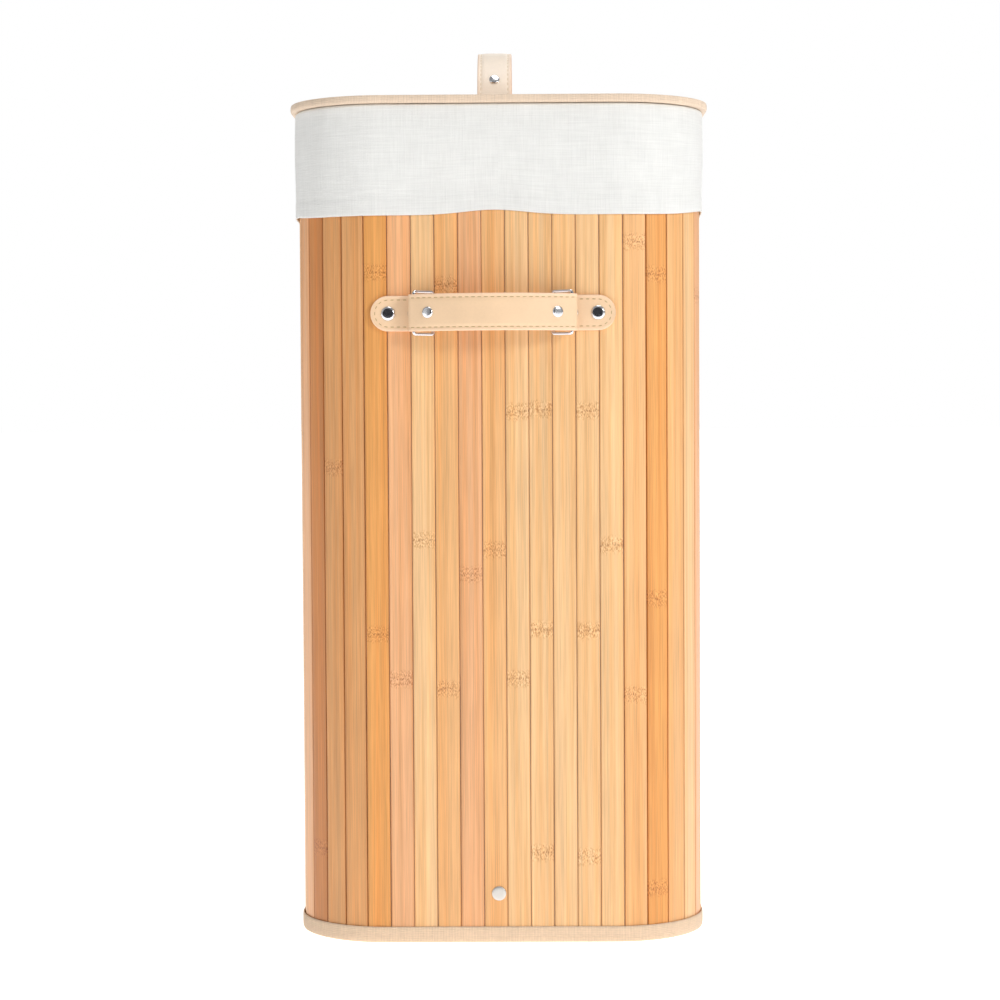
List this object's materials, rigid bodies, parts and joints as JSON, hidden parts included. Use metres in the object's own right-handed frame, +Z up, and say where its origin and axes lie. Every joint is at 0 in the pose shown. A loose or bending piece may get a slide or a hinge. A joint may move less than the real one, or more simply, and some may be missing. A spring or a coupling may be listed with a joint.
{
  "type": "laundry hamper with lid",
  "caption": "Tall rounded-rectangle slatted laundry hamper with a lift-off lid, a cloth liner turned out over the rim, and strap handles on swinging wire rings.",
  "frame": {"origin": "centre of the base's underside, on the floor", "axes": "+Z up, X across the narrow ends, Y along the length; -Y is the front end"},
  "size_m": [0.303, 0.4522, 0.6562],
  "materials": {
    "bamboo": "flattened bamboo strips, satin, tone differs from strip to strip",
    "cloth_backing": "glued scrim cloth",
    "binding_tape": "ribbed beige cotton tape",
    "cotton": "off-white plain weave cotton and linen",
    "board": "fibreboard",
    "leather": "tan faux leather, stitched along its edges",
    "steel": "nickel-plated steel",
    "wire": "galvanised steel wire"
  },
  "bodies": {
    "hamper": {"back_handle_tab_left": "leather", "back_handle_tab_right": "leather", "back_handle_tab_rivets": "steel", "back_handle_washers": "steel", "base_board": "board", "base_lining": "cloth_backing", "base_rivets": "steel", "base_tape": "binding_tape", "base_tape_flange": "binding_tape", "front_handle_tab_left": "leather", "front_handle_tab_right": "leather", "front_handle_tab_rivets": "steel", "front_handle_washers": "steel", "keeper_washers": "steel", "liner_bag": "cotton", "liner_bottom": "cotton", "liner_skirt": "cotton", "rim_rivets": "steel", "rim_tape": "binding_tape", "slats_back": "bamboo", "slats_corner_back_left": "bamboo", "slats_corner_back_right": "bamboo", "slats_corner_front_left": "bamboo", "slats_corner_front_right": "bamboo", "slats_front": "bamboo", "slats_left": "bamboo", "slats_right": "bamboo", "support_wire_back": "wire", "support_wire_front": "wire", "wall_backing": "cloth_backing", "wire_keepers_back": "leather", "wire_keepers_front": "leather"},
    "lid": {"lid_board": "board", "lid_handle_tab_left": "leather", "lid_handle_tab_right": "leather", "lid_handle_tab_rivets": "steel", "lid_handle_washers": "steel", "lid_lining": "cloth_backing", "lid_slats": "bamboo", "lid_tape": "binding_tape"},
    "front_handle_ring_right": {"front_handle_ring_right": "steel"},
    "front_handle_strap_right": {"front_handle_strap_right": "leather", "front_handle_strap_rivet_right": "steel"},
    "front_handle_ring_left": {"front_handle_ring_left": "steel"},
    "front_handle_strap_left": {"front_handle_strap_left": "leather", "front_handle_strap_rivet_left": "steel"},
    "back_handle_ring_right": {"back_handle_ring_right": "steel"},
    "back_handle_strap_right": {"back_handle_strap_right": "leather", "back_handle_strap_rivet_right": "steel"},
    "back_handle_ring_left": {"back_handle_ring_left": "steel"},
    "back_handle_strap_left": {"back_handle_strap_left": "leather", "back_handle_strap_rivet_left": "steel"},
    "lid_handle_ring_right": {"lid_handle_ring_right": "steel"},
    "lid_handle_strap_right": {"lid_handle_strap_right": "leather", "lid_handle_strap_rivet_right": "steel"},
    "lid_handle_ring_left": {"lid_handle_ring_left": "steel"},
    "lid_handle_strap_left": {"lid_handle_strap_left": "leather", "lid_handle_strap_rivet_left": "steel"}
  },
  "joints": [
    {"name": "lid_lift", "type": "slide", "parent": "hamper", "child": "lid", "axis": [0, 0, 1], "range_m": [0, 0.3]},
    {"name": "front_handle_swing", "type": "hinge", "parent": "hamper", "child": "front_handle_ring_right", "pos_m": [0.0383, -0.19855, 0.447], "axis": [0, 0, -1], "range_deg": [-13, 43]},
    {"name": "front_handle_strap_right_turn", "type": "hinge", "parent": "front_handle_ring_right", "child": "front_handle_strap_right", "pos_m": [0.05141, -0.20773, 0.447], "axis": [0, 0, 1], "range_deg": [-20.48, 66.59]},
    {"name": "front_handle_strap_bend", "type": "hinge", "parent": "front_handle_strap_right", "child": "front_handle_strap_left", "pos_m": [-0.004, -0.22223, 0.447], "axis": [0, 0, -1], "range_deg": [-14.46, 46.68]},
    {"name": "front_handle_ring_left_swing", "type": "hinge", "parent": "hamper", "child": "front_handle_ring_left", "pos_m": [-0.0463, -0.19855, 0.447], "axis": [0, 0, 1], "range_deg": [-13.5, 43.5]},
    {"name": "back_handle_swing", "type": "hinge", "parent": "hamper", "child": "back_handle_ring_right", "pos_m": [-0.0383, 0.19855, 0.447], "axis": [0, 0, -1], "range_deg": [-13, 43]},
    {"name": "back_handle_strap_right_turn", "type": "hinge", "parent": "back_handle_ring_right", "child": "back_handle_strap_right", "pos_m": [-0.05141, 0.20773, 0.447], "axis": [0, 0, 1], "range_deg": [-20.48, 66.59]},
    {"name": "back_handle_strap_bend", "type": "hinge", "parent": "back_handle_strap_right", "child": "back_handle_strap_left", "pos_m": [0.004, 0.22223, 0.447], "axis": [0, 0, -1], "range_deg": [-14.46, 46.68]},
    {"name": "back_handle_ring_left_swing", "type": "hinge", "parent": "hamper", "child": "back_handle_ring_left", "pos_m": [0.0463, 0.19855, 0.447], "axis": [0, 0, 1], "range_deg": [-13.5, 43.5]},
    {"name": "lid_handle_swing", "type": "hinge", "parent": "lid", "child": "lid_handle_ring_right", "pos_m": [-0.004, 0.0396, 0.60195], "axis": [1, 0, 0], "range_deg": [-46, 20]},
    {"name": "lid_handle_strap_right_turn", "type": "hinge", "parent": "lid_handle_ring_right", "child": "lid_handle_strap_right", "pos_m": [-0.004, 0.04507, 0.61699], "axis": [-1, 0, 0], "range_deg": [-65.82, 28.9]},
    {"name": "lid_handle_strap_bend", "type": "hinge", "parent": "lid_handle_strap_right", "child": "lid_handle_strap_left", "pos_m": [-0.004, 0, 0.65229], "axis": [1, 0, 0], "range_deg": [-39.14, 17.3]},
    {"name": "lid_handle_ring_left_swing", "type": "hinge", "parent": "lid", "child": "lid_handle_ring_left", "pos_m": [-0.004, -0.0396, 0.60195], "axis": [-1, 0, 0], "range_deg": [-46.5, 20.5]}
  ],
  "couplings": [
    {"joint": "front_handle_strap_right_turn", "follows": "front_handle_swing", "ratio": 1.537},
    {"joint": "front_handle_strap_bend", "follows": "front_handle_swing", "ratio": 1.074},
    {"joint": "front_handle_ring_left_swing", "follows": "front_handle_swing", "ratio": 1},
    {"joint": "back_handle_strap_right_turn", "follows": "back_handle_swing", "ratio": 1.537},
    {"joint": "back_handle_strap_bend", "follows": "back_handle_swing", "ratio": 1.074},
    {"joint": "back_handle_ring_left_swing", "follows": "back_handle_swing", "ratio": 1},
    {"joint": "lid_handle_strap_right_turn", "follows": "lid_handle_swing", "ratio": 1.42},
    {"joint": "lid_handle_strap_bend", "follows": "lid_handle_swing", "ratio": 0.84},
    {"joint": "lid_handle_ring_left_swing", "follows": "lid_handle_swing", "ratio": 1}
  ]
}
